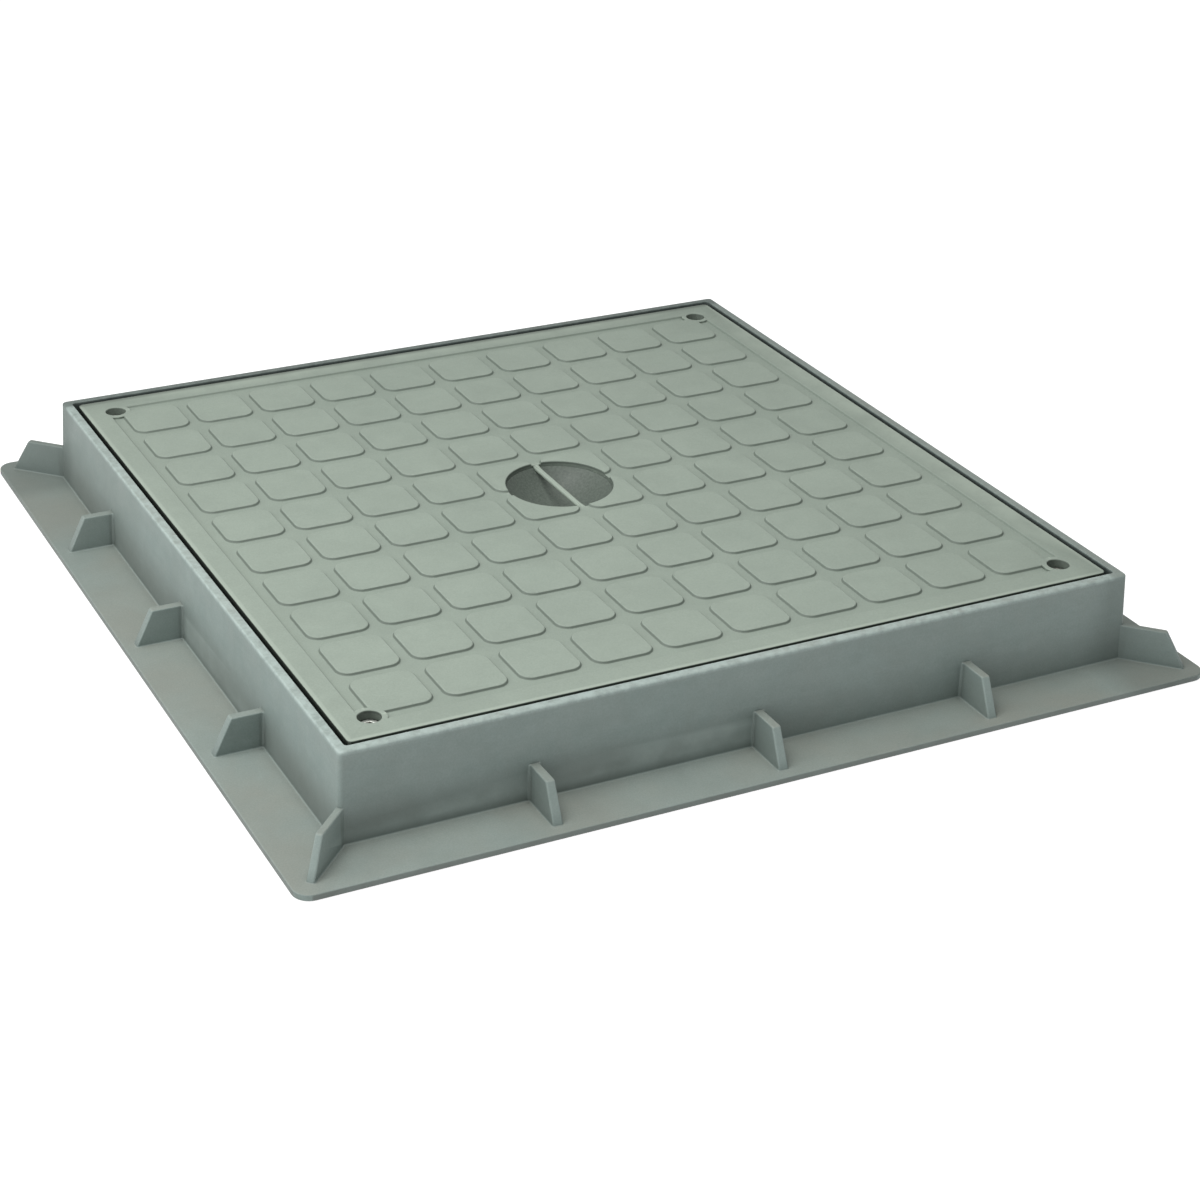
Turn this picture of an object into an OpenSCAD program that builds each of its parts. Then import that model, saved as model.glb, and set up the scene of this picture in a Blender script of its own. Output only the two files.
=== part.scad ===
// Square light-duty access cover in moulded plastic: a flanged frame and a drop-in lid with a
// pattern of raised square pads, a round finger recess with a lifting bar, and a screw in each corner.
// Millimetres, +Z up. The origin is the centre of the frame's underside.

/* [Frame] */
// Side of the square wall, measured at the rim
wall_w = 400; // [380:5:440]
// Height from the underside of the flange to the rim
frame_h = 47; // [46:0.5:52]
// Wall thickness at the rim
rim_t = 4.4; // [4.2:0.2:5.4]
// How far each wall face leans out between the rim and the underside
wall_draft = 2.4; // [1:0.2:4]
// Width cut off each upright edge of the wall
wall_chamfer = 2; // [1:0.5:3]
// Width of the flange beyond the rim
flange_out = 31; // [28:1:36]
// Thickness of the flange
flange_t = 3; // [2.5:0.5:4]
// Radius of the flange corners
flange_r = 8; // [6:1:12]

/* [Frame ribs] */
// Outer ribs on each side
side_ribs = 3; // [1:1:5]
// Spacing of the outer ribs
rib_pitch = 111; // [60:1:120]
// Thickness of an outer rib
rib_t = 4.4; // [3:0.2:6]
// Height of an outer rib above the flange
rib_h = 17.8; // [14:0.1:20]
// Length of a rib's level top, out from the rim
rib_top = 16.8; // [14:0.1:18]
// Reach of a rib's foot, out from the rim
rib_foot = 25.2; // [24:0.1:28]
// Height of the rib's outer end above the flange
rib_toe = 1; // [0.5:0.5:3]
// Thickness of a corner rib
corner_rib_t = 3.4; // [3:0.2:5]
// Length of a corner rib's level top, out from the rim
corner_rib_top = 15.5; // [14:0.5:17]
// Reach of a corner rib's foot, out from the rim
corner_rib_foot = 22.5; // [20:0.5:24]

/* [Seat] */
// Height of the ledge that carries the lid
seat_z = 20; // [18:0.5:22]
// Width of the ledge
seat_w = 15; // [14:0.5:16]
// Thickness of the ledge and of the stiffening webs under it
seat_t = 4; // [3:0.5:5]
// Width of the sealing strip
seal_w = 7; // [6:0.5:8]
// Thickness of the sealing strip
seal_t = 2; // [1.5:0.1:3]

/* [Lid] */
// Side of the square lid
lid_w = 386; // [384:0.2:387]
// How far the lid's top lies below the rim
lid_drop = 0.4; // [0:0.1:1.5]
// Radius of the lid's upright edges
lid_r = 2.5; // [1:0.5:4]
// Thickness of the lid's top plate
plate_t = 4; // [3:0.5:5]
// Thickness of the lid's skirt
skirt_t = 4; // [3:0.5:5]
// Width of the raised border
border_w = 12; // [11:0.2:14]
// Pads along each side
pad_count = 10; // [10:1:10]
// Spacing of the pads
pad_pitch = 35.55; // [35:0.05:35.6]
// Side of a pad
pad_w = 29.6; // [28:0.1:32]
// Corner radius of a pad
pad_r = 6; // [3:0.5:8]
// Height of the pads and of the border above the field
pad_h = 1.2; // [0.8:0.1:2]
// Thickness of the ribs under the lid
under_rib_t = 3; // [2:0.5:4]
// Depth of the ribs under the lid
under_rib_h = 13; // [8:0.5:14]

/* [Finger recess] */
// Diameter of the recess
recess_d = 54.4; // [50:0.2:56]
// Depth of the recess's upright wall
recess_wall = 2.6; // [2:0.2:4]
// Depth of the bowl at its middle
recess_depth = 16; // [12:0.5:17]
// Thickness of the bowl
bowl_t = 2.6; // [2:0.2:3]
// Diameter of the lifting bar
bar_d = 2.8; // [2:0.2:4]

/* [Corner screws] */
// Distance of each screw from the lid's two centre lines
screw_at = 177; // [176:0.5:178]
// Diameter of the hole that takes the screw head
head_hole_d = 10.6; // [10.4:0.1:11]
// Radius of the level land round each head hole
hole_land_r = 8; // [7:0.5:9]
// Depth of the screw head's top below the lid's top
head_sink = 4; // [3:0.5:5]
// Nominal diameter of the screw
screw_d = 6; // [6:1:6]
// Length of the screw under its head
screw_len = 30; // [28:1:30]
// Length of the threaded insert
insert_len = 12; // [10:0.5:12]

/* [Hidden] */
$fn = 64;
running = 0.05;
rest_gap = 0.02;
overlap = 0.5;

rim_half = wall_w / 2;
foot_half = rim_half + wall_draft;
inner_half = rim_half - rim_t;
flange_w = wall_w + 2 * flange_out;
clear_half = inner_half - seat_w;
lip_t = 3;
lip_z = 9;
web_count = 7;
web_pitch = 2 * clear_half / web_count;

seal_z = seat_z + rest_gap;
seal_edge = 2.5;
seal_half = inner_half - seal_edge;

lid_half = lid_w / 2;
lid_z = seal_z + seal_t + rest_gap;
lid_top = frame_h - lid_drop;
field_z = lid_top - pad_h;
plate_z = field_z - plate_t;
field_half = lid_half - border_w;
under_rib_pitch = 2 * pad_pitch;
under_rib_last = 2;

recess_r = recess_d / 2;
bowl_step = 0.8;
bowl_chord = recess_r - bowl_step;
bowl_rise = recess_depth - recess_wall;
bowl_r = (bowl_chord * bowl_chord + bowl_rise * bowl_rise) / (2 * bowl_rise);
bowl_centre_z = lid_top - recess_depth + bowl_r;
bar_hold = 1.7;
bar_sink = 0.05;
bar_reach = recess_r + bar_hold;

head_r = 5;
head_h = 6;
socket_af = 5;
socket_depth = 3;
socket_sides = 6;
screw_r = screw_d / 2;
tip_chamfer = 0.8;
head_top_z = lid_top - head_sink;
head_z = head_top_z - head_h;
washer_t = 1.6;
washer_z = head_z - rest_gap - washer_t;
washer_r = 5;
head_floor_z = washer_z - rest_gap;
boss_r = 9;
screw_clearance = 0.3;
screw_clear_r = screw_r + screw_clearance;
drain_clearance = 0.4;
drain_r = screw_r + drain_clearance;
insert_r = 4.3;
insert_press = 0.05;
insert_groove = 0.5;
insert_sink = 0.1;
insert_top_z = seat_z - insert_sink;
insert_z = insert_top_z - insert_len;
corner_plate = inner_half - screw_at + boss_r;

// Flat square of side w with corner radius r, centred on the origin.
module rounded_square(w, r) {
    square([w, w - 2 * r], center = true);
    square([w - 2 * r, w], center = true);
    for (x = [-1, 1], y = [-1, 1])
        translate([x * (w / 2 - r), y * (w / 2 - r)]) circle(r = r);
}

// Square slab of half width h between two heights.
module slab(h, z0, z1) {
    translate([-h, -h, z0]) cube([2 * h, 2 * h, z1 - z0]);
}

// Copies its children to the four sides, each facing outwards along +X.
module each_side() {
    for (turn = [0:3]) rotate(90 * turn) children();
}

// Copies its children to the four corners; +X and +Y of the child point outwards.
module each_corner() {
    for (turn = [0:3]) rotate(90 * turn) translate([screw_at, screw_at, 0]) children();
}

// Long prism with leaning sides, half widths foot and rim, from the underside to the rim.
module leaning_prism(foot, rim, length) {
    rotate([90, 0, 0])
        translate([0, 0, -length])
            linear_extrude(2 * length)
                polygon([[-foot, 0], [foot, 0], [rim, frame_h], [-rim, frame_h]]);
}

// Outer form of the wall: four leaning faces and four leaning corner chamfers.
module wall_block() {
    corner_foot = foot_half * sqrt(2) - wall_chamfer;
    corner_rim = rim_half * sqrt(2) - wall_chamfer;
    intersection() {
        leaning_prism(foot_half, rim_half, wall_w);
        rotate(90) leaning_prism(foot_half, rim_half, wall_w);
        rotate(45) leaning_prism(corner_foot, corner_rim, wall_w);
        rotate(-45) leaning_prism(corner_foot, corner_rim, wall_w);
    }
}

// Upright rib of thickness t: starts inside the wall at distance d0 from the centre, with its level
// top ending at d1 and its foot at d2.
module outer_rib(t, d0, d1, d2) {
    z0 = flange_t - overlap;
    top_z = flange_t + rib_h;
    toe_z = flange_t + rib_toe;
    rotate([90, 0, 0])
        translate([0, 0, -t / 2])
            linear_extrude(t)
                polygon([[d0, z0], [d2, z0], [d2, toe_z], [d1, top_z], [d0, top_z]]);
}

module outer_ribs() {
    first = -(side_ribs - 1) / 2 * rib_pitch;
    inside = rim_half - rim_t / 2;
    diagonal = sqrt(2);
    each_side() {
        for (i = [0 : side_ribs - 1])
            translate([0, first + i * rib_pitch, 0])
                outer_rib(rib_t, inside, rim_half + rib_top, rim_half + rib_foot);
        rotate(45)
            outer_rib(corner_rib_t, inside * diagonal, (rim_half + corner_rib_top) * diagonal,
                      (rim_half + corner_rib_foot) * diagonal);
    }
}

// Ledge for the lid, with a stiffening lip along its inner edge and webs under it.
module seat() {
    difference() {
        slab(inner_half + overlap, seat_z - seat_t, seat_z);
        slab(clear_half, 0, frame_h);
    }
    difference() {
        slab(clear_half + lip_t, lip_z, seat_z - overlap);
        slab(clear_half, 0, frame_h);
    }
    each_side()
        for (i = [1 : web_count - 1])
            translate([clear_half + overlap, (i - web_count / 2) * web_pitch - lip_t / 2, lip_z])
                cube([seat_w, lip_t, seat_z - lip_z - overlap]);
}

// Corner plate and boss that hold a threaded insert.
module frame_boss() {
    cylinder(h = seat_z, r = boss_r);
    translate([-boss_r, -boss_r, seat_z - seat_t])
        cube([corner_plate + overlap, corner_plate + overlap, seat_t]);
    for (turn = [0, 90])
        rotate(turn)
            translate([0, -lip_t / 2, 0])
                cube([inner_half - screw_at + overlap, lip_t, seat_z - overlap]);
}

module frame() {
    color([0.55, 0.60, 0.57])
        difference() {
            union() {
                linear_extrude(flange_t) rounded_square(flange_w, flange_r);
                difference() {
                    wall_block();
                    slab(inner_half, -overlap, frame_h + overlap);
                }
                outer_ribs();
                seat();
                each_corner() frame_boss();
            }
            difference() {
                slab(inner_half, -overlap, flange_t + overlap);
                each_corner() cylinder(h = 2 * seat_z, r = boss_r, center = true);
                for (turn = [0:3])
                    rotate(90 * turn)
                        for (flip = [0, 1])
                            mirror([flip, -flip, 0])
                                translate([screw_at, screw_at - lip_t / 2, -seat_z])
                                    cube([inner_half, lip_t, 2 * seat_z]);
            }
            each_corner() {
                translate([0, 0, -overlap]) cylinder(h = seat_z + 2 * overlap, r = drain_r);
                translate([0, 0, insert_z]) cylinder(h = seat_z, r = insert_r);
            }
        }
}

module lid_seal() {
    color([0.10, 0.10, 0.10])
        translate([0, 0, seal_z])
            linear_extrude(seal_t)
                difference() {
                    rounded_square(2 * seal_half, lid_r);
                    square(2 * (seal_half - seal_w), center = true);
                }
}

module pads() {
    first = -(pad_count - 1) / 2 * pad_pitch;
    for (i = [0 : pad_count - 1], j = [0 : pad_count - 1])
        translate([first + i * pad_pitch, first + j * pad_pitch, field_z - overlap])
            linear_extrude(pad_h + overlap) rounded_square(pad_w, pad_r);
}

// Skirt, top plate and raised border.
module lid_shell() {
    difference() {
        translate([0, 0, lid_z]) linear_extrude(lid_top - lid_z) rounded_square(lid_w, lid_r);
        slab(lid_half - skirt_t, lid_z - overlap, plate_z);
        slab(field_half, field_z, lid_top + overlap);
    }
}

// Crossed ribs under the top plate, at every second groove between the pads.
module under_ribs() {
    for (i = [-under_rib_last : under_rib_last], turn = [0, 90])
        rotate(turn)
            translate([i * under_rib_pitch - under_rib_t / 2, -lid_half + skirt_t / 2,
                       plate_z - under_rib_h])
                cube([under_rib_t, lid_w - skirt_t, under_rib_h + overlap]);
}

// Solid cup under the top plate that the bowl is cut from.
module cup() {
    intersection() {
        translate([0, 0, bowl_centre_z]) sphere(r = bowl_r + bowl_t);
        translate([0, 0, lid_z]) cylinder(h = plate_z + overlap - lid_z, r = recess_d);
    }
}

module bowl_cut() {
    translate([0, 0, lid_top - recess_wall]) cylinder(h = recess_wall + overlap, r = recess_r);
    intersection() {
        translate([0, 0, bowl_centre_z]) sphere(r = bowl_r);
        translate([0, 0, lid_z]) cylinder(h = lid_top - recess_wall + overlap - lid_z, r = bowl_chord);
    }
}

// Round bar across the recess, its top level with the field.
module lifting_bar() {
    translate([0, 0, field_z - bar_sink - bar_d / 2])
        rotate([90, 0, 0])
            cylinder(h = 2 * bar_reach, r = bar_d / 2, center = true);
}

// Boss under the lid for a screw, tied to the skirt on two sides.
module lid_boss() {
    translate([0, 0, lid_z]) cylinder(h = plate_z + overlap - lid_z, r = boss_r);
    for (turn = [0, 90])
        rotate(turn)
            translate([0, -under_rib_t / 2, lid_z])
                cube([lid_half - screw_at - skirt_t / 2, under_rib_t, plate_z + overlap - lid_z]);
}

module lid() {
    color([0.64, 0.68, 0.64]) {
        difference() {
            union() {
                lid_shell();
                pads();
                under_ribs();
                cup();
                each_corner() {
                    lid_boss();
                    translate([0, 0, field_z - overlap]) cylinder(h = pad_h + overlap, r = hole_land_r);
                }
            }
            bowl_cut();
            each_corner() {
                translate([0, 0, head_floor_z]) cylinder(h = frame_h, r = head_hole_d / 2);
                translate([0, 0, lid_z - overlap]) cylinder(h = frame_h, r = screw_clear_r);
            }
        }
        lifting_bar();
    }
}

// Hexagon socket cap screw, standing in its hole at the origin.
module cap_screw() {
    color([0.35, 0.36, 0.37])
        difference() {
            union() {
                translate([0, 0, head_z]) cylinder(h = head_h, r = head_r);
                translate([0, 0, head_z - screw_len + tip_chamfer])
                    cylinder(h = screw_len - tip_chamfer + overlap, r = screw_r);
                translate([0, 0, head_z - screw_len])
                    cylinder(h = tip_chamfer, r1 = screw_r - tip_chamfer, r2 = screw_r);
            }
            translate([0, 0, head_top_z - socket_depth])
                cylinder(h = socket_depth + overlap, r = socket_af / sqrt(3), $fn = socket_sides);
        }
}

// Sealing washer under a screw head.
module seal_washer() {
    color([0.12, 0.12, 0.12])
        translate([0, 0, washer_z])
            difference() {
                cylinder(h = washer_t, r = washer_r);
                translate([0, 0, -overlap]) cylinder(h = washer_t + 2 * overlap, r = screw_r + running);
            }
}

// Brass insert with a holding groove round its middle.
module threaded_insert() {
    color([0.75, 0.62, 0.32])
        translate([0, 0, insert_z])
            difference() {
                cylinder(h = insert_len, r = insert_r + insert_press);
                translate([0, 0, -overlap])
                    cylinder(h = insert_len + 2 * overlap, r = screw_r + running);
                translate([0, 0, insert_len / 3])
                    difference() {
                        cylinder(h = insert_len / 3, r = 2 * insert_r);
                        translate([0, 0, -overlap])
                            cylinder(h = insert_len, r = insert_r - insert_groove);
                    }
            }
}

// Moves its children to one corner: side -1 is left, depth -1 is front.
module corner(side, depth) {
    translate([side * screw_at, depth * screw_at, 0]) children();
}

frame();
lid();
lid_seal();
corner(-1, -1) cap_screw();  // screw_front_left
corner(1, -1) cap_screw();  // screw_front_right
corner(-1, 1) cap_screw();  // screw_back_left
corner(1, 1) cap_screw();  // screw_back_right
corner(-1, -1) seal_washer();  // washer_front_left
corner(1, -1) seal_washer();  // washer_front_right
corner(-1, 1) seal_washer();  // washer_back_left
corner(1, 1) seal_washer();  // washer_back_right
corner(-1, -1) threaded_insert();  // insert_front_left
corner(1, -1) threaded_insert();  // insert_front_right
corner(-1, 1) threaded_insert();  // insert_back_left
corner(1, 1) threaded_insert();  // insert_back_right
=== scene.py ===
"""Looks of a square plastic access cover: flanged frame, padded lid, sealing strip and corner screws."""

import math

import bmesh
import bpy
from mathutils import Matrix, Vector


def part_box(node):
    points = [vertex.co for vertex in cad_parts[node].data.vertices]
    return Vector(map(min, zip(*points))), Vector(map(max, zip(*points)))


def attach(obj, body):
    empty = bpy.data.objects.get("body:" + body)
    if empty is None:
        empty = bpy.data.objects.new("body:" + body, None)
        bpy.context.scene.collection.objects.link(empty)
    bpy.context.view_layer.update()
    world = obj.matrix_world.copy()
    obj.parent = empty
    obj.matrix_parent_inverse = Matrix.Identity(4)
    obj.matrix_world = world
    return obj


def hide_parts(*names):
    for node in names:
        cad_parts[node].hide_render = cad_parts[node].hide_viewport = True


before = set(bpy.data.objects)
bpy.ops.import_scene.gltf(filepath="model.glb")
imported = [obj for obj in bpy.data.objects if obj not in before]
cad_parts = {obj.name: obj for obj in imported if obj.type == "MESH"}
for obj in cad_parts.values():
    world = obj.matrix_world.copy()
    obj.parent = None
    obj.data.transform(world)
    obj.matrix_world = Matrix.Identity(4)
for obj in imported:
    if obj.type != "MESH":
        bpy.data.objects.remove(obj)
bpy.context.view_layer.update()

MM = 0.001

# ---------------------------------------------------------------- sizes, in millimetres
def span(node):
    """Low and high corner of a CAD node's box."""
    low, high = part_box(node)
    return low / MM, high / MM


FRAME_LOW, FRAME_HIGH = span("frame")
LID_LOW, LID_HIGH = span("lid")
SEAL_LOW, SEAL_HIGH = span("lid_seal")
SCREW_LOW, SCREW_HIGH = span("screw_back_right")
WASHER_LOW, WASHER_HIGH = span("washer_back_right")
INSERT_LOW, INSERT_HIGH = span("insert_back_right")

RIM_Z = FRAME_HIGH.z
FLANGE_HALF = FRAME_HIGH.x
FLANGE_T = 3.0
FLANGE_R = 8.0
RIM_HALF = FLANGE_HALF - 31.0
RIM_T = 4.4
WALL_LEAN = 2.4
WALL_R = 2.2
WALL_INNER_R = 1.8
INNER_HALF = RIM_HALF - RIM_T
SEAT_Z = 20.0
SEAT_T = 4.0
CLEAR_HALF = INNER_HALF - 15.0
LIP_T = 3.0
LIP_Z = 9.0
WEB_COUNT = 7

RIB_T = 4.4
RIB_TOP_Z = FLANGE_T + 17.8
RIB_TOE = 1.0
RIB_PITCH = 111.0
RIB_TOP_OUT = 16.8
RIB_FOOT_OUT = 25.2
RIB_END_R = 0.9
RIB_DRAFT = 0.015
RIB_FLARE = 1.2
CORNER_RIB_T = 3.4
CORNER_RIB_TOP_OUT = 15.5
CORNER_RIB_FOOT_OUT = 22.5
CORNER_RIB_ROOT = 3.0
CORNER_RIB_FLARE = 0.3

LID_HALF = LID_HIGH.x
LID_TOP = LID_HIGH.z
LID_BOTTOM = LID_LOW.z
LID_R = 2.5
SKIRT_T = 4.0
PLATE_T = 4.0
PAD_H = 1.2
PAD_COUNT = 10
PAD_PITCH = 35.55
PAD_HALF = 14.8
PAD_R = 6.0
EDGE_SOFT = 0.7
EDGE_SLOPE = 0.45
FIELD_Z = LID_TOP - PAD_H
PLATE_Z = FIELD_Z - PLATE_T
FIELD_HALF = LID_HALF - 12.0
UNDER_RIB_T = 3.0
UNDER_RIB_H = 13.0

RECESS_R = 27.2
RECESS_WALL = 2.6
RECESS_DEPTH = 16.0
BOWL_CHORD = RECESS_R - 0.8
BOWL_T = 2.6
BOWL_RISE = RECESS_DEPTH - RECESS_WALL
BOWL_R = (BOWL_CHORD ** 2 + BOWL_RISE ** 2) / (2 * BOWL_RISE)
BOWL_CENTRE_Z = LID_TOP - RECESS_DEPTH + BOWL_R
BAR_R = 1.4
BAR_Z = FIELD_Z - 0.05 - BAR_R

SCREW_AT = (SCREW_LOW.x + SCREW_HIGH.x) / 2
HEAD_R = (SCREW_HIGH.x - SCREW_LOW.x) / 2
HEAD_H = 6.0
HEAD_Z = SCREW_HIGH.z - HEAD_H
HEAD_KNURL = 0.22
SHANK_R = 3.0
THREAD_PITCH = 1.0
THREAD_DEPTH = 0.55
SOCKET_HALF = 2.5
SOCKET_DEPTH = 3.0
HEAD_HOLE_R = 5.3
HEAD_HOLE_Z = WASHER_LOW.z - 0.02
HOLE_LAND_R = 8.0
SHANK_HOLE_R = 3.3
BOSS_R = 9.0
INSERT_BORE_R = 4.3
INSERT_KNURL = 0.18
DRAIN_BORE_R = 3.4
CORNERS = {"front_left": (-1, -1), "front_right": (1, -1), "back_left": (-1, 1), "back_right": (1, 1)}

ARC_STEPS = 8
MERGE_GAP = 0.004


# ---------------------------------------------------------------- mesh helpers
def new_object(name, bm):
    """Turns a bmesh in millimetres into an object in metres."""
    bmesh.ops.recalc_face_normals(bm, faces=bm.faces)
    bmesh.ops.scale(bm, vec=(MM, MM, MM), verts=bm.verts)
    mesh = bpy.data.meshes.new(name)
    bm.to_mesh(mesh)
    bm.free()
    obj = bpy.data.objects.new(name, mesh)
    bpy.context.scene.collection.objects.link(obj)
    return obj


def ring_points(half, radius, z, stops=()):
    """Rounded square, counter-clockwise from the +X end of the first arc; stops add points to each side."""
    points = []
    for quarter in range(4):
        turn = Matrix.Rotation(quarter * math.pi / 2, 3, "Z")
        centre = half - radius
        for step in range(ARC_STEPS + 1):
            a = step / ARC_STEPS * math.pi / 2
            points.append(turn @ Vector((centre + radius * math.cos(a), centre + radius * math.sin(a), z)))
        for stop in stops:
            points.append(turn @ Vector((-stop, half, z)))
    return points


def circle_points(radius, z, steps, centre=(0, 0)):
    """Level circle, counter-clockwise from +X."""
    return [Vector((centre[0] + radius * math.cos(a), centre[1] + radius * math.sin(a), z))
            for a in (2 * math.pi * i / steps for i in range(steps))]


def join_rings(bm, low, high):
    """Band of quads between two rings of equal length."""
    for a in range(len(low)):
        b = (a + 1) % len(low)
        bm.faces.new((low[a], low[b], high[b], high[a]))


def loft(bm, rings, cyclic=False):
    """Joins a run of point rings; returns the rows of vertices."""
    rows = [[bm.verts.new(p) for p in ring] for ring in rings]
    for low, high in zip(rows, rows[1:]):
        join_rings(bm, low, high)
    if cyclic:
        join_rings(bm, rows[-1], rows[0])
    return rows


def close_fan(bm, ring, point):
    """Closes a ring with triangles to one point."""
    tip = bm.verts.new(point)
    for a in range(len(ring)):
        bm.faces.new((ring[a], ring[(a + 1) % len(ring)], tip))


def rounded(outline, cyclic=True, steps=3):
    """Outline of (across, height, radius) corners as (across, height) points with its corners rounded."""
    points = []
    count = len(outline)
    for i, (x, z, radius) in enumerate(outline):
        here = Vector((x, z))
        if radius == 0 or (not cyclic and i in (0, count - 1)):
            points.append(here)
            continue
        before = (Vector(outline[i - 1][:2]) - here).normalized()
        after = (Vector(outline[(i + 1) % count][:2]) - here).normalized()
        half_angle = before.angle(after) / 2
        reach = radius / math.tan(half_angle)
        centre = here + (before + after).normalized() * (radius / math.sin(half_angle))
        start = (here + before * reach - centre).normalized()
        end = (here + after * reach - centre).normalized()
        for step in range(steps + 1):
            points.append(centre + start.slerp(end, step / steps) * radius)
    return points


def revolve(bm, outline, steps, centre=(0, 0)):
    """Turns (radius, z) points about an upright axis; ends that lie on the axis are closed."""
    rows = loft(bm, [circle_points(p[0], p[1], steps, centre) for p in outline if p[0] > 0])
    for end, row in ((outline[0], rows[0]), (outline[-1], rows[-1])):
        if end[0] == 0:
            close_fan(bm, row, (centre[0], centre[1], end[1]))


def revolve_ring(bm, outline, steps, centre=(0, 0)):
    """Turns a closed section of (radius, z) points about an upright axis."""
    loft(bm, [circle_points(p[0], p[1], steps, centre) for p in outline], cyclic=True)


def add_cylinder(bm, centre, radius, low, high, steps=64, edge=0.0):
    """Closed upright cylinder; edge rounds both rims."""
    revolve(bm, rounded([(0, low, 0), (radius, low, edge), (radius, high, edge), (0, high, 0)], cyclic=False),
            steps, centre)


def add_box(bm, low, high):
    """Closed box between two corners given in any order."""
    low, high = Vector(map(min, low, high)), Vector(map(max, low, high))
    size = high - low
    place = Matrix.Translation((low + high) / 2) @ Matrix.Diagonal((size.x, size.y, size.z, 1))
    bmesh.ops.create_cube(bm, size=1, matrix=place)


def boolean(base, tool, operation):
    """Applies one exact boolean to base and removes the tool."""
    modifier = base.modifiers.new("boolean", "BOOLEAN")
    modifier.operation = operation
    modifier.solver = "EXACT"
    modifier.object = tool
    depsgraph = bpy.context.evaluated_depsgraph_get()
    result = bpy.data.meshes.new_from_object(base.evaluated_get(depsgraph))
    base.modifiers.clear()
    spent = [base.data, tool.data]
    base.data = result
    bpy.data.objects.remove(tool)
    for mesh in spent:
        bpy.data.meshes.remove(mesh)
    base.data.name = base.name


def finish_mesh(obj, angle=35):
    """Smooth shading that keeps sharp edges sharp and flat faces flat."""
    bm = bmesh.new()
    bm.from_mesh(obj.data)
    bmesh.ops.remove_doubles(bm, verts=bm.verts, dist=MERGE_GAP * MM)
    bmesh.ops.dissolve_degenerate(bm, edges=bm.edges, dist=MERGE_GAP / 2 * MM)
    for face in bm.faces:
        face.smooth = True
    for edge in bm.edges:
        edge.smooth = edge.calc_face_angle(0) < math.radians(angle)
    bm.to_mesh(obj.data)
    bm.free()
    weights = obj.modifiers.new("weighted_normals", "WEIGHTED_NORMAL")
    weights.keep_sharp = True
    weights.weight = 50


def corner_tool(name, add):
    """One object made of the same form at all four corners; add takes the bmesh and the corner's signs."""
    bm = bmesh.new()
    for signs in CORNERS.values():
        add(bm, *signs)
    return new_object(name, bm)


# ---------------------------------------------------------------- frame
def wall_face(z):
    """Half width of the wall's outer face at a height."""
    return RIM_HALF + WALL_LEAN * (RIM_Z - z) / RIM_Z


def frame_shell():
    """Flange, leaning wall, rim, ledge and stiffening lip as one swept section."""
    section = rounded([
        (FLANGE_HALF, 0, 0.2),
        (FLANGE_HALF, FLANGE_T, 0.7),
        (wall_face(FLANGE_T), FLANGE_T, 0.9),
        (RIM_HALF, RIM_Z, 1.0),
        (INNER_HALF, RIM_Z, 0.3),
        (INNER_HALF, SEAT_Z, 0.8),
        (CLEAR_HALF, SEAT_Z, 0.8),
        (CLEAR_HALF, LIP_Z, 0.6),
        (CLEAR_HALF + LIP_T, LIP_Z, 0.6),
        (CLEAR_HALF + LIP_T, SEAT_Z - SEAT_T, 0.8),
        (INNER_HALF, SEAT_Z - SEAT_T, 0.8),
        (INNER_HALF, 0, 0.5),
    ])
    bm = bmesh.new()
    wall_middle = (RIM_HALF + INNER_HALF) / 2
    rings = []
    for p in section:
        radius = max(WALL_R, FLANGE_R - (FLANGE_HALF - p.x)) if p.x > wall_middle else WALL_INNER_R
        rings.append(ring_points(p.x, radius, p.y))
    loft(bm, rings, cyclic=True)
    return new_object("frame_shell", bm)


def rib_ring(root, out, half, grow, z, flare):
    """Level outline of a rib: flared into the wall at root, rounded at its outer end, offset by grow."""
    steps = 4
    end = min(RIB_END_R, half * 0.6) + grow
    out, half = out + grow, half + grow
    side = [Vector((root - 2.0, half + flare, z))]
    for step in range(steps + 1):
        a = (1 - step / steps) * math.pi / 2
        side.append(Vector((root + flare * (1 - math.sin(a)), half + flare * (1 - math.cos(a)), z)))
    for step in range(steps + 1):
        a = (1 - step / steps) * math.pi / 2
        side.append(Vector((out - end + end * math.cos(a), half - end + end * math.sin(a), z)))
    mirrored = [Vector((p.x, -p.y, p.z)) for p in reversed(side)]
    return side + mirrored


def add_rib(bm, place, thickness, root_at, top_out, foot_out, flare):
    """One moulded rib: fillet at the flange, leaning outer end and rounded top, moved by a matrix."""
    fillet, edge, steps = 0.8, 0.7, 5
    levels = [(FLANGE_T - 1.0, fillet)]
    for step in range(steps + 1):
        a = step / steps * math.pi / 2
        levels.append((FLANGE_T + fillet * (1 - math.cos(a)), fillet * (1 - math.sin(a))))
    levels.append((RIB_TOP_Z - 6.0, 0))
    for step in range(steps + 1):
        a = step / steps * math.pi / 2
        levels.append((RIB_TOP_Z - edge + edge * math.sin(a), -edge * (1 - math.cos(a))))
    toe_z = FLANGE_T + RIB_TOE
    rings = []
    for z, grow in levels:
        lean = min(1.0, (RIB_TOP_Z - z) / (RIB_TOP_Z - toe_z))
        out = top_out + (foot_out - top_out) * lean
        half = thickness / 2 + RIB_DRAFT * (RIB_TOP_Z - z)
        rings.append([place @ p for p in rib_ring(root_at(z), out, half, grow, z, flare)])
    rows = loft(bm, rings)
    bm.faces.new(rows[0])
    bm.faces.new(rows[-1])


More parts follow.
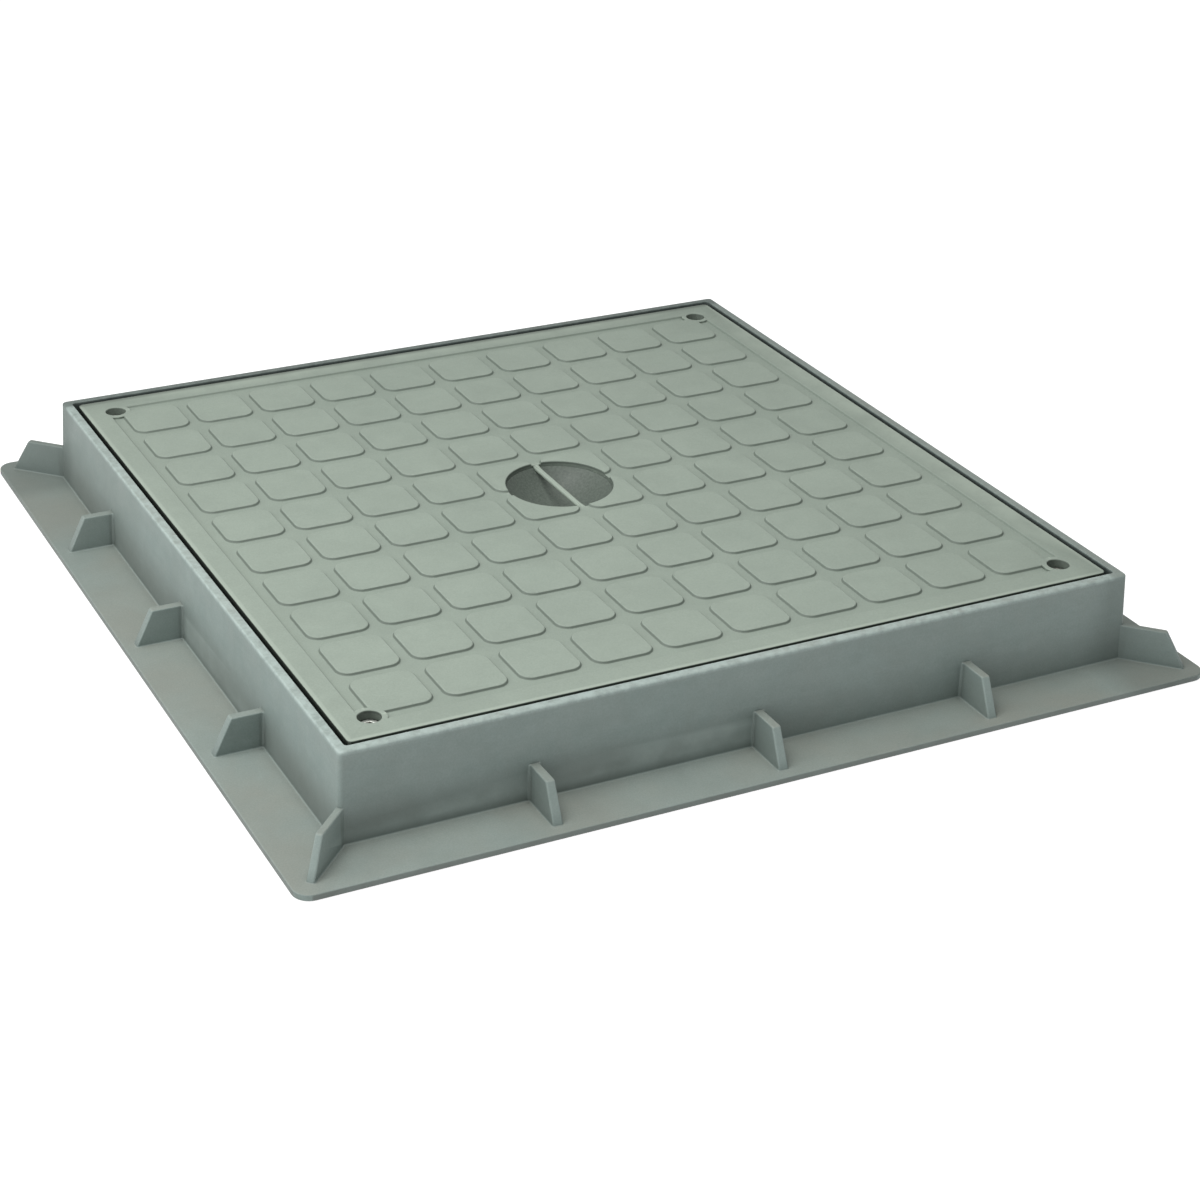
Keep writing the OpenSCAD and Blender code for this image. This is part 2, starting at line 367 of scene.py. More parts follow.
def frame_ribs():
    """The three ribs on each side and the rib on each corner."""
    bm = bmesh.new()
    diagonal = math.sqrt(2)
    for quarter in range(4):
        turn = Matrix.Rotation(quarter * math.pi / 2, 4, "Z")
        for place in (-1, 0, 1):
            add_rib(bm, turn @ Matrix.Translation((0, place * RIB_PITCH, 0)), RIB_T, wall_face,
                    RIM_HALF + RIB_TOP_OUT, RIM_HALF + RIB_FOOT_OUT, RIB_FLARE)
        add_rib(bm, turn @ Matrix.Rotation(math.pi / 4, 4, "Z"), CORNER_RIB_T,
                lambda z: wall_face(z) * diagonal - CORNER_RIB_ROOT,
                (RIM_HALF + CORNER_RIB_TOP_OUT) * diagonal, (RIM_HALF + CORNER_RIB_FOOT_OUT) * diagonal,
                CORNER_RIB_FLARE)
    return new_object("frame_ribs", bm)


def frame_webs():
    """Short webs that stiffen the ledge from below."""
    bm = bmesh.new()
    pitch = 2 * CLEAR_HALF / WEB_COUNT
    half = LIP_T / 2
    for quarter in range(4):
        turn = Matrix.Rotation(quarter * math.pi / 2, 4, "Z")
        for i in range(1, WEB_COUNT):
            along = (i - WEB_COUNT / 2) * pitch
            before = set(bm.verts)
            add_box(bm, (CLEAR_HALF + half, along - half, LIP_Z + 0.4),
                    (INNER_HALF + 1, along + half, SEAT_Z - 1))
            bmesh.ops.transform(bm, matrix=turn, verts=[v for v in bm.verts if v not in before])
    return new_object("frame_webs", bm)


def frame_boss_tools():
    """Screw bosses with their corner plates and tie webs; small offsets keep their faces out of one plane."""
    near, reach, half = SCREW_AT - BOSS_R, INNER_HALF + 1.0, LIP_T / 2

    def plate(bm, x, y):
        add_box(bm, (x * near, y * near, SEAT_Z - SEAT_T + 0.15), (x * reach, y * reach, SEAT_Z - 0.05))

    def web_x(bm, x, y):
        add_box(bm, (x * SCREW_AT, y * SCREW_AT - half, 0.3),
                (x * reach, y * SCREW_AT + half, SEAT_Z - 0.5))

    def web_y(bm, x, y):
        add_box(bm, (x * SCREW_AT - half, y * SCREW_AT, 0.3),
                (x * SCREW_AT + half, y * reach, SEAT_Z - 0.5))

    def boss(bm, x, y):
        add_cylinder(bm, (x * SCREW_AT, y * SCREW_AT), BOSS_R, 0.05, SEAT_Z - 0.02, edge=0.5)

    return [corner_tool("tool", add) for add in (plate, web_x, web_y, boss)]


def build_frame():
    """The frame's moulding, with the bores for the inserts."""
    shell = frame_shell()
    for tool in [frame_ribs(), frame_webs()] + frame_boss_tools():
        boolean(shell, tool, "UNION")

    def insert_bore(bm, x, y):
        add_cylinder(bm, (x * SCREW_AT, y * SCREW_AT), INSERT_BORE_R, INSERT_LOW.z, SEAT_Z + 1)

    def drain_bore(bm, x, y):
        add_cylinder(bm, (x * SCREW_AT, y * SCREW_AT), DRAIN_BORE_R, -1, INSERT_LOW.z + 1)

    for add in (insert_bore, drain_bore):
        boolean(shell, corner_tool("tool", add), "DIFFERENCE")
    finish_mesh(shell)
    return shell


# ---------------------------------------------------------------- lid
def pad_edge():
    """Section of a pad's edge from the field up: (outward offset, height) points, hollow then round."""
    outline = [(EDGE_SLOPE + 2 * EDGE_SOFT, 0, 0), (EDGE_SLOPE, 0, EDGE_SOFT), (0, PAD_H, EDGE_SOFT),
               (-2 * EDGE_SOFT, PAD_H, 0)]
    return rounded(outline, cyclic=False)[1:-1]


def add_pad_cell(bm, corners, i, j):
    """One pad and the field round it, out to the four corners of its cell."""
    centre = Vector(((i + 0.5 - PAD_COUNT / 2) * PAD_PITCH, (j + 0.5 - PAD_COUNT / 2) * PAD_PITCH, 0))
    rows = loft(bm, [[p + centre for p in ring_points(PAD_HALF + q.x, PAD_R + q.x, FIELD_Z + q.y)]
                     for q in pad_edge()])
    bm.faces.new(rows[-1])
    base = rows[0]
    around = [corners[i + 1, j + 1], corners[i, j + 1], corners[i, j], corners[i + 1, j]]
    for quarter in range(4):
        first = quarter * (ARC_STEPS + 1)
        for step in range(ARC_STEPS):
            bm.faces.new((base[first + step], around[quarter], base[first + step + 1]))
        following = (quarter + 1) % 4
        bm.faces.new((base[first + ARC_STEPS], around[quarter], around[following],
                      base[following * (ARC_STEPS + 1)]))


def lid_shell():
    """Skirt, top plate, border and pads as one closed skin."""
    bm = bmesh.new()
    stops = [(k - PAD_COUNT / 2) * PAD_PITCH for k in range(1, PAD_COUNT)]
    section = rounded([
        (FIELD_HALF - 4, FIELD_Z, 0),
        (FIELD_HALF - EDGE_SLOPE, FIELD_Z, EDGE_SOFT),
        (FIELD_HALF, LID_TOP, EDGE_SOFT),
        (LID_HALF, LID_TOP, 0.35),
        (LID_HALF, LID_BOTTOM, 0.5),
        (LID_HALF - SKIRT_T, LID_BOTTOM, 0.5),
        (LID_HALF - SKIRT_T, PLATE_Z, 1.2),
        (LID_HALF - SKIRT_T - 4, PLATE_Z, 0),
    ], cyclic=False)[1:-1]
    skirt_middle = LID_HALF - SKIRT_T / 2
    rows = loft(bm, [ring_points(p.x, LID_R if p.x > skirt_middle else 1.6, p.y, stops) for p in section])
    bm.faces.new(rows[-1])

    edge = PAD_COUNT
    corners = {}
    for i in range(edge + 1):
        for j in range(edge + 1):
            corners[i, j] = bm.verts.new(((i - edge / 2) * PAD_PITCH, (j - edge / 2) * PAD_PITCH, FIELD_Z))
    for i in range(edge):
        for j in range(edge):
            add_pad_cell(bm, corners, i, j)

    foot = rows[0]
    per_side = ARC_STEPS + 1 + len(stops)
    walk = [[(edge - k, edge) for k in range(edge + 1)], [(0, edge - k) for k in range(edge + 1)],
            [(k, 0) for k in range(edge + 1)], [(edge, k) for k in range(edge + 1)]]
    for quarter in range(4):
        cells = [corners[key] for key in walk[quarter]]
        first = quarter * per_side
        for step in range(ARC_STEPS):
            bm.faces.new((foot[first + step], foot[first + step + 1], cells[0]))
        along = [foot[first + ARC_STEPS + k] for k in range(len(stops) + 1)]
        along.append(foot[(first + per_side) % len(foot)])
        for k in range(edge):
            bm.faces.new((along[k], along[k + 1], cells[k + 1], cells[k]))
    return new_object("lid_shell", bm)


def bowl_arc(radius, top_z):
    """Points of a ball's lower cap from its lowest point up to a height."""
    limit = math.acos((BOWL_CENTRE_Z - top_z) / radius)
    steps = 28
    return [(radius * math.sin(a), BOWL_CENTRE_Z - radius * math.cos(a))
            for a in (limit * step / steps for step in range(steps + 1))]


def cup():
    """Solid under the top plate that the bowl is cut from."""
    bm = bmesh.new()
    top_z = PLATE_Z + 1.0
    revolve(bm, bowl_arc(BOWL_R + BOWL_T, top_z) + [(0, top_z)], 128)
    return new_object("cup", bm)


def recess_cut():
    """Bowl, small step, upright wall and rounded rim of the finger recess."""
    outline = bowl_arc(BOWL_R, LID_TOP - RECESS_WALL)
    outline.append((RECESS_R, LID_TOP - RECESS_WALL))
    soft, steps = 0.5, 4
    for step in range(steps + 1):
        a = math.radians(80) * step / steps
        outline.append((RECESS_R + soft * (1 - math.cos(a)), LID_TOP - soft * (1 - math.sin(a))))
    outline += [(RECESS_R + soft, LID_TOP + 2), (0, LID_TOP + 2)]
    bm = bmesh.new()
    revolve(bm, outline, 160)
    return new_object("recess", bm)


def lifting_bar():
    """Round bar across the recess, a little thicker where it meets the plate."""
    reach = RECESS_R + 1.7
    stations = [(-reach, 0.5), (1.2 - RECESS_R, 0.35), (4 - RECESS_R, 0.06), (8 - RECESS_R, 0)]
    stations += [(-y, grow) for y, grow in reversed(stations)]
    turns = [2 * math.pi * i / 32 for i in range(32)]
    bm = bmesh.new()
    rings = []
    for y, grow in stations:
        r = BAR_R + grow
        rings.append([Vector((r * math.cos(a), y, BAR_Z + min(BAR_R, r * math.sin(a)))) for a in turns])
    rows = loft(bm, rings)
    for row in (rows[0], rows[-1]):
        bm.faces.new(row)
    return new_object("bar", bm)


def under_ribs():
    """Crossed ribs under the plate, one object for each direction."""
    half, reach = UNDER_RIB_T / 2, LID_HALF - SKIRT_T / 2
    grids = []
    for along_x in (True, False):
        bm = bmesh.new()
        for i in range(-2, 3):
            at = 2 * i * PAD_PITCH
            low_z, high_z = PLATE_Z - UNDER_RIB_H, PLATE_Z + 1.0
            if along_x:
                add_box(bm, (-reach, at - half, low_z), (reach, at + half, high_z))
            else:
                add_box(bm, (at - half, -reach, low_z + 0.05), (at + half, reach, high_z + 0.05))
        grids.append(new_object("ribs", bm))
    return grids


def lid_boss_tools():
    """Screw bosses under the plate, their ties to the skirt, and the level land round each hole.

    Small offsets keep their faces out of one plane.
    """
    half, near, reach = UNDER_RIB_T / 2, SCREW_AT + BOSS_R - 2, LID_HALF - 1

    def boss(bm, x, y):
        add_cylinder(bm, (x * SCREW_AT, y * SCREW_AT), BOSS_R, LID_BOTTOM + 0.02, PLATE_Z + 1, edge=0.4)

    def tie_x(bm, x, y):
        add_box(bm, (x * near, y * SCREW_AT - half, LID_BOTTOM + 1),
                (x * reach, y * SCREW_AT + half, PLATE_Z + 1.1))

    def tie_y(bm, x, y):
        add_box(bm, (x * SCREW_AT - half, y * near, LID_BOTTOM + 1),
                (x * SCREW_AT + half, y * reach, PLATE_Z + 1.1))

    def land(bm, x, y):
        add_cylinder(bm, (x * SCREW_AT, y * SCREW_AT), HOLE_LAND_R, FIELD_Z - 1, LID_TOP - 0.015, edge=0.45)

    return [corner_tool("tool", add) for add in (boss, tie_x, tie_y, land)]


def build_lid():
    """The lid's moulding, with its recess, bar and screw holes."""
    lid = lid_shell()
    for tool in under_ribs() + [cup()] + lid_boss_tools():
        boolean(lid, tool, "UNION")

    def head_hole(bm, x, y):
        ease = 0.45
        rim = [(HEAD_HOLE_R + out * ease, LID_TOP - down * ease)
               for out, down in ((0, 1), (0.15, 0.45), (0.5, 0.12))]
        above = [(HEAD_HOLE_R + 1.3 * ease, LID_TOP + 0.2), (0, LID_TOP + 0.2)]
        revolve(bm, [(0, HEAD_HOLE_Z), (HEAD_HOLE_R, HEAD_HOLE_Z)] + rim + above,
                64, (x * SCREW_AT, y * SCREW_AT))

    def shank_hole(bm, x, y):
        add_cylinder(bm, (x * SCREW_AT, y * SCREW_AT), SHANK_HOLE_R, LID_BOTTOM - 1, HEAD_HOLE_Z + 1)

    for tool in (recess_cut(), corner_tool("tool", head_hole), corner_tool("tool", shank_hole)):
        boolean(lid, tool, "DIFFERENCE")
    boolean(lid, lifting_bar(), "UNION")
    finish_mesh(lid)
    return lid


# ---------------------------------------------------------------- small parts
def build_seal():
    """Sealing strip with a shallow groove along its top."""
    half, width = SEAL_HIGH.x, 7.0
    low, high = SEAL_LOW.z, SEAL_HIGH.z
    inner = half - width
    floor = high - 0.6
    section = rounded([(half, low, 0.3), (half, high, 0.5), (half - 2.3, high, 0.3), (half - 3.0, floor, 0.3),
                       (inner + 3.0, floor, 0.3), (inner + 2.3, high, 0.3), (inner, high, 0.5),
                       (inner, low, 0.3)])
    bm = bmesh.new()
    loft(bm, [ring_points(p.x, 2.5 if p.x > half - width / 2 else 1.0, p.y) for p in section], cyclic=True)
    seal = new_object("seal_strip", bm)
    finish_mesh(seal)
    return seal


def knurled(radius, depth, z, steps, centre):
    """Circle whose radius dips at every other pair of points."""
    points = []
    for i, p in enumerate(circle_points(1.0, z, steps)):
        r = radius - (depth if i % 4 >= 2 else 0.0)
        points.append(Vector((centre[0] + p.x * r, centre[1] + p.y * r, z)))
    return points


def hexagon(half_flats, z, steps, centre):
    """Hexagonal ring with the same number of points as a circle."""
    points = []
    for i in range(steps):
        a = 2 * math.pi * i / steps
        off_corner = abs((a + math.pi / 6) % (math.pi / 3) - math.pi / 6)
        r = half_flats / math.cos(off_corner - math.pi / 6)
        points.append(Vector((centre[0] + r * math.cos(a), centre[1] + r * math.sin(a), z)))
    return points


def screw_head(bm, centre):
    """Knurled head with a rounded top and a hexagon socket."""
    steps = 96
    top, low, rim = SCREW_HIGH.z, HEAD_Z, HEAD_R - 0.05
    rings = [circle_points(q[0], q[1], steps, centre)
             for q in rounded([(SHANK_R, low, 0), (rim, low, 0.25), (rim, low + 0.8, 0)], cyclic=False)]
    rings += [knurled(HEAD_R, HEAD_KNURL, z, steps, centre) for z in (low + 0.9, top - 1.0)]
    socket_corner = SOCKET_HALF / math.cos(math.pi / 6)
    for radius, z in ((rim, top - 0.9), (HEAD_R - 0.15, top - 0.45), (HEAD_R - 0.55, top - 0.05),
                      (HEAD_R - 0.9, top), (socket_corner + 0.35, top)):
        rings.append(circle_points(radius, z, steps, centre))
    rings.append(hexagon(SOCKET_HALF + 0.12, top - 0.12, steps, centre))
    rings += [hexagon(SOCKET_HALF, top - depth, steps, centre) for depth in (0.25, SOCKET_DEPTH)]
    rows = loft(bm, rings)
    close_fan(bm, rows[-1], (centre[0], centre[1], top - SOCKET_DEPTH - 0.6))
    close_fan(bm, rows[0], (centre[0], centre[1], low))


def screw_shank(bm, centre):
    """Shank with a cut thread that runs out below the head and tapers at the tip."""
    steps, rows_a_turn = 32, 6
    thread_top, tip, crest = HEAD_Z - 5.0, SCREW_LOW.z, SHANK_R - 0.03
    rings = []
    count = int((thread_top - tip) / THREAD_PITCH * rows_a_turn)
    for row in range(count + 1):
        z = tip + (thread_top - tip) * row / count
        ease = min(1.0, (z - tip) / 0.8)
        fade = min(1.0, (thread_top - z) / 1.5)
        ring = []
        for i in range(steps):
            a = 2 * math.pi * i / steps
            wave = abs(((z / THREAD_PITCH - i / steps) % 1.0) * 2 - 1)
            r = crest - THREAD_DEPTH * fade * min(1.0, max(0.0, wave * 1.25 - 0.12)) - 0.8 * (1 - ease)
            ring.append(Vector((centre[0] + r * math.cos(a), centre[1] + r * math.sin(a), z)))
        rings.append(ring)
    rings.append(circle_points(crest, HEAD_Z - 0.02, steps, centre))
    rows = loft(bm, rings)
    close_fan(bm, rows[0], (centre[0], centre[1], tip + 0.2))
    close_fan(bm, rows[-1], (centre[0], centre[1], HEAD_Z - 0.01))


def build_screw(name, centre):
    """Socket cap screw."""
    bm = bmesh.new()
    screw_head(bm, centre)
    screw_shank(bm, centre)
    screw = new_object(name, bm)
    finish_mesh(screw, 40)
    return screw


def build_washer(name, centre):
    """Sealing washer with rounded edges."""
    bm = bmesh.new()
    outer, inner = HEAD_R, SHANK_R + 0.05
    revolve_ring(bm, rounded([(outer, WASHER_LOW.z, 0.35), (outer, WASHER_HIGH.z, 0.35),
                              (inner, WASHER_HIGH.z, 0.25), (inner, WASHER_LOW.z, 0.25)]), 64, centre)
    washer = new_object(name, bm)
    finish_mesh(washer)
    return washer


def build_insert(name, centre):
    """Brass insert: two knurled bands, a plain groove and a chamfered bore."""
    steps = 96
    low, high = INSERT_LOW.z, INSERT_HIGH.z
    third = (high - low) / 3
    outer, bore, groove = INSERT_BORE_R + 0.05, SHANK_R + 0.05, INSERT_BORE_R - 0.45

    def circle(radius, z):
        return circle_points(radius, z, steps, centre)

    def band(start):
        return [knurled(outer, INSERT_KNURL, z, steps, centre) for z in (start, start + third - 0.5)]

    upper = low + 2 * third
    rings = [circle(bore, low + 0.3), circle(bore + 0.3, low), circle(outer - 0.3, low)]
    rings += band(low + 0.3) + [circle(groove, low + third), circle(groove, upper - 0.2)] + band(upper)
    rings += [circle(outer - 0.3, high), circle(bore + 0.4, high), circle(bore, high - 0.4)]
    bm = bmesh.new()
    loft(bm, rings, cyclic=True)
    insert = new_object(name, bm)
    finish_mesh(insert, 30)
    return insert


# ---------------------------------------------------------------- materials
def node_tree(material):
    """Empties a material's nodes but for one principled shader; returns the tree and the shader."""
    material.use_nodes = True
    tree = material.node_tree
    tree.nodes.clear()
    output = tree.nodes.new("ShaderNodeOutputMaterial")
    shader = tree.nodes.new("ShaderNodeBsdfPrincipled")
    tree.links.new(shader.outputs["BSDF"], output.inputs["Surface"])
    return tree, shader


def noise(tree, coords, scale, detail=3.0, rough=0.5, distortion=0.0):
    """Noise value at the coordinates."""
    node = tree.nodes.new("ShaderNodeTexNoise")
    node.inputs["Scale"].default_value = scale
    node.inputs["Detail"].default_value = detail
    node.inputs["Roughness"].default_value = rough
    node.inputs["Distortion"].default_value = distortion
    tree.links.new(coords, node.inputs["Vector"])
    return node.outputs["Fac"]


def remap(tree, value, low, high, to_low=0.0, to_high=1.0):
    """Ramp from to_low at low to to_high at high, held beyond both."""
    node = tree.nodes.new("ShaderNodeMapRange")
    node.inputs["From Min"].default_value = low
    node.inputs["From Max"].default_value = high
    node.inputs["To Min"].default_value = to_low
    node.inputs["To Max"].default_value = to_high
    tree.links.new(value, node.inputs["Value"])
    return node.outputs["Result"]


def mix_color(tree, factor, a, b):
    """Colour a at factor 0 and b at factor 1."""
    node = tree.nodes.new("ShaderNodeMix")
    node.data_type = "RGBA"
    for value, socket in ((factor, 0), (a, 6), (b, 7)):
        if hasattr(value, "links"):
            tree.links.new(value, node.inputs[socket])
        elif socket == 0:
            node.inputs[socket].default_value = value
        else:
            node.inputs[socket].default_value = (*value, 1.0)
    return node.outputs[2]


def math_node(tree, operation, a, b=0.0):
    """One sum on two sockets or numbers."""
    node = tree.nodes.new("ShaderNodeMath")
    node.operation = operation
    for value, socket in ((a, 0), (b, 1)):
        if hasattr(value, "links"):
            tree.links.new(value, node.inputs[socket])
        else:
            node.inputs[socket].default_value = value
    return node.outputs["Value"]


def times(tree, *factors):
    """Product of sockets and numbers."""
    product = factors[0]
    for factor in factors[1:]:
        product = math_node(tree, "MULTIPLY", product, factor)
    return product


def larger(tree, a, b):
    """The larger of two sockets."""
    return math_node(tree, "MAXIMUM", a, b)


def size_of(tree, value):
    """A socket's value without its sign."""
    return math_node(tree, "ABSOLUTE", value)


def distance(tree, x, y):
    """Length of a level vector."""
    squares = math_node(tree, "ADD", math_node(tree, "POWER", x, 2.0), math_node(tree, "POWER", y, 2.0))
    return math_node(tree, "SQRT", squares)


def split(tree, vector):
    """The three parts of a vector."""
    node = tree.nodes.new("ShaderNodeSeparateXYZ")
    tree.links.new(vector, node.inputs["Vector"])
    return node.outputs["X"], node.outputs["Y"], node.outputs["Z"]


def bump(tree, shader, height, strength, depth):
    """Roughens a shader's normal with a height."""
    node = tree.nodes.new("ShaderNodeBump")
    node.inputs["Strength"].default_value = strength
    node.inputs["Distance"].default_value = depth
    tree.links.new(height, node.inputs["Height"])
    tree.links.new(node.outputs["Normal"], shader.inputs["Normal"])


def object_coords(tree, stretch=(1, 1, 1), shift=0.0):
    """Object coordinates in metres, stretched and shifted."""
    coords = tree.nodes.new("ShaderNodeTexCoord")
    mapping = tree.nodes.new("ShaderNodeMapping")
    mapping.inputs["Scale"].default_value = stretch
    mapping.inputs["Location"].default_value = (shift, shift * 0.7, shift * 0.3)
    tree.links.new(coords.outputs["Object"], mapping.inputs["Vector"])
    return mapping.outputs["Vector"]


def linear(red, green, blue):
    """Linear colour of a display colour given as 0 to 255."""
    def one(value):
        value /= 255
        return value / 12.92 if value <= 0.04045 else ((value + 0.055) / 1.055) ** 2.4
    return one(red), one(green), one(blue)


def scaled(color, share):
    """Colour at a share of its brightness."""
    return tuple(min(1.0, c * share) for c in color)


class Plastic:
    """Grey moulded polypropylene: its colours, and the sockets that the layers of its look read.

    x, y and z are the place in millimetres, outward is the distance from the middle towards the nearest
    side, toward_back_right is the same towards the back and right only, and level and upward tell level and
    top faces.
    """

    def __init__(self, name, tone, dusty, deep, dust_and_shade, shift):
        self.material = bpy.data.materials.new(name)
        tree, self.shader = node_tree(self.material)
        self.tree = tree
        self.color, self.dusty, self.deep, self.dust_and_shade = tone, dusty, deep, dust_and_shade
        self.pale = scaled(dusty, 1.5)
        self.coords = object_coords(tree, shift=shift)
        self.streaks = object_coords(tree, (1, 1, 6), shift + 3)
        self.x, self.y, self.z = split(tree, object_coords(tree, (1 / MM, 1 / MM, 1 / MM)))
        self.outward = larger(tree, size_of(tree, self.x), size_of(tree, self.y))
        self.toward_back_right = larger(tree, self.x, self.y)
        geometry = tree.nodes.new("ShaderNodeNewGeometry")
        self.pointiness = geometry.outputs["Pointiness"]
        self.normal_x, _, self.normal_z = split(tree, geometry.outputs["True Normal"])
        self.level = size_of(tree, self.normal_z)
        self.upward = remap(tree, self.normal_z, 0.5, 0.95)

    def ramp(self, value, low, high, to_low=0.0, to_high=1.0):
        """A ramp in the plastic's own nodes."""
        return remap(self.tree, value, low, high, to_low, to_high)

    def noise(self, scale, detail, rough=0.5, distortion=0.0):
        """Noise that keeps to the plastic's own place and shift."""
        return noise(self.tree, self.coords, scale, detail, rough, distortion)

    def times(self, *factors):
        """A product in the plastic's own nodes."""
        return times(self.tree, *factors)

    def cover(self, factor, color):
        """Lays a colour over what is there."""
        self.color = mix_color(self.tree, factor, self.color, color)


def clouded(p, stained=0.0):
    """Clouds, mottle and drag marks, then dust and warm stains on level faces, and fine speckle."""
    drag = noise(p.tree, p.streaks, 30, 4, 0.6, 0.3)
    p.cover(p.ramp(p.noise(7, 4, 0.6, 0.4), 0.35, 0.65, 0.0, 0.5), p.dusty)
    p.cover(p.ramp(p.noise(110, 5, 0.65), 0.35, 0.68, 0.0, 0.42), p.dusty)
    p.cover(p.ramp(drag, 0.4, 0.7, 0.0, 0.15), p.deep)
    p.cover(p.times(p.upward, p.ramp(p.noise(16, 5, 0.6), 0.3, 0.7, 0.35, 0.9)), p.dust_and_shade)
    p.cover(p.ramp(p.noise(38, 6, 0.7, 0.5), 0.38, 0.64, 0.0, 0.26), scaled(p.dust_and_shade, 0.7))
    p.cover(p.times(p.upward, p.ramp(p.noise(11, 4, 0.6, 0.4), 0.42, 0.66, 0.0, stained)), EARTH)
    p.cover(p.ramp(p.noise(1300, 2, 0.6), 0.3, 0.72, 0.0, 0.30), p.deep)


def worn_and_highlit_edges(p):
    """Paler convex edges, partly rubbed wear and partly painted highlight, except close to the ground."""
    patchy = p.ramp(p.noise(60, 3), 0.3, 0.6, 0.45, 1.0)
    # Painted highlight and wear together: convex edges made paler.
    p.cover(p.times(p.ramp(p.pointiness, 0.515, 0.60), patchy, p.ramp(p.z, 4, 8), 0.7), p.pale)


def foot_soil_and_shade(p):
    """Darker at the wall's foot and on the flange's edge, splashed soil and painted shade together, more on
    the left; painted shade low on the X sides and towards the back.
    """
    standing = p.ramp(p.level, 0.2, 0.6, 1.0, 0.0)
    # Painted shade: a darker wall foot, stronger on the left, and a darker flange edge where contact shade
    # falls.
    at_wall = p.times(p.ramp(p.outward, RIM_HALF + 3.5, RIM_HALF + 4.5, 1.0, 0.0),
                      p.ramp(p.z, 24, 11, 0.0, 0.6), p.ramp(p.x, -40, 40, 1.0, 0.5))
    at_edge = p.ramp(p.outward, FLANGE_HALF - 0.3, FLANGE_HALF - 0.1)
    patches = p.ramp(p.noise(40, 5, 0.7), 0.3, 0.65, 0.6, 1.0)
    p.cover(p.times(standing, larger(p.tree, at_wall, at_edge), patches, 0.8), scaled(p.dust_and_shade, 0.4))
    # Painted shade low on the faces that look along X.
    sideways = p.ramp(size_of(p.tree, p.normal_x), 0.7, 0.9)
    p.cover(p.times(sideways, p.ramp(p.z, 33, 9), 0.36), scaled(p.dust_and_shade, 0.5))
    # Painted shade that grows towards the back.
    p.cover(p.ramp(p.y, 30, 230, 0.0, 0.32), scaled(p.dust_and_shade, 0.5))


def edge_and_bar_highlight(p):
    """Painted highlight on the lid's top edge and on the top of the lifting bar."""
    edge = p.times(p.upward, p.ramp(p.outward, LID_HALF - 2.4, LID_HALF - 1.4),
                   p.ramp(p.outward, LID_HALF + 0.5, LID_HALF + 0.6, 1.0, 0.0))
    bar = p.times(p.ramp(size_of(p.tree, p.x), BAR_R + 0.3, BAR_R),
                  p.ramp(size_of(p.tree, p.y), RECESS_R + 1, RECESS_R - 1), p.ramp(p.z, BAR_Z - 0.8, BAR_Z))
    # Painted highlight: pale colour on the lid edge and the bar top.
    p.cover(p.times(larger(p.tree, edge, bar), 0.368), p.pale)


def pad_edge_shade(p):
    """Painted shade on the sloping edges of the pads, and a little on the border's."""
    sloping = p.ramp(p.level, 0.97, 0.88)
    in_step = p.times(p.ramp(p.z, FIELD_Z - 0.3, FIELD_Z - 0.1), p.ramp(p.z, LID_TOP - 0.05, LID_TOP - 0.25))
    on_field = p.ramp(p.outward, FIELD_HALF - 4, FIELD_HALF - 3, 1.0, 0.35)
    # Painted shade on the pads' flanks.
    p.cover(p.times(sloping, in_step, on_field, 0.69), scaled(p.deep, 0.6))


def hollow_soil_and_shade(p):
    """Darker finger recess and screw-hole walls, soil and painted shade together; the recess's upright faces
    are painted darker on the left than on the right.
    """
    tree = p.tree
    aside, ahead = size_of(tree, p.x), size_of(tree, p.y)
    steep = p.ramp(p.level, 0.3, 0.5, 1.0, 0.0)
    sunk = p.times(p.ramp(p.z, FIELD_Z - 0.3, FIELD_Z - 1.2), p.ramp(p.normal_z, -0.2, -0.1))
    sunk = larger(tree, sunk, p.times(steep, p.ramp(p.z, LID_TOP - 0.3, LID_TOP - 0.7)))

    in_recess = p.ramp(distance(tree, p.x, p.y), RECESS_R + 0.4, RECESS_R + 0.9, 1.0, 0.0)
    under_bar = BAR_Z - BAR_R
    off_bar = larger(tree, p.ramp(aside, BAR_R + 0.1, BAR_R + 0.3), p.ramp(p.z, under_bar, under_bar - 1))
    # Painted shade: upright faces on the recess's left are darker than on its right.
    side_shade = larger(tree, p.ramp(p.x, -3, 5, 0.80, 0.62), p.ramp(steep, 0.0, 1.0, 1.0, 0.0))
    from_hole = distance(tree, math_node(tree, "SUBTRACT", aside, SCREW_AT),
                         math_node(tree, "SUBTRACT", ahead, SCREW_AT))
    in_hole = p.times(p.ramp(from_hole, HEAD_HOLE_R + 0.2, HEAD_HOLE_R + 0.6, 1.0, 0.0), steep, 0.72)
    where = larger(tree, p.times(in_recess, off_bar, side_shade), in_hole)

    patches = p.ramp(p.noise(800, 4, 0.7), 0.3, 0.7, 0.7, 1.0)
    # Soil and painted shade in the recess; painted shade on the screw-hole walls.
    p.cover(p.times(sunk, where, patches, 0.92), scaled(p.deep, 0.36))


def back_right_shade(p):
    """Painted shade on the back and right sides."""
    # Painted shade towards the back and right.
    p.cover(p.ramp(p.toward_back_right, FIELD_HALF - 3, LID_HALF - 1, 0.0, 0.28), scaled(p.deep, 0.5))


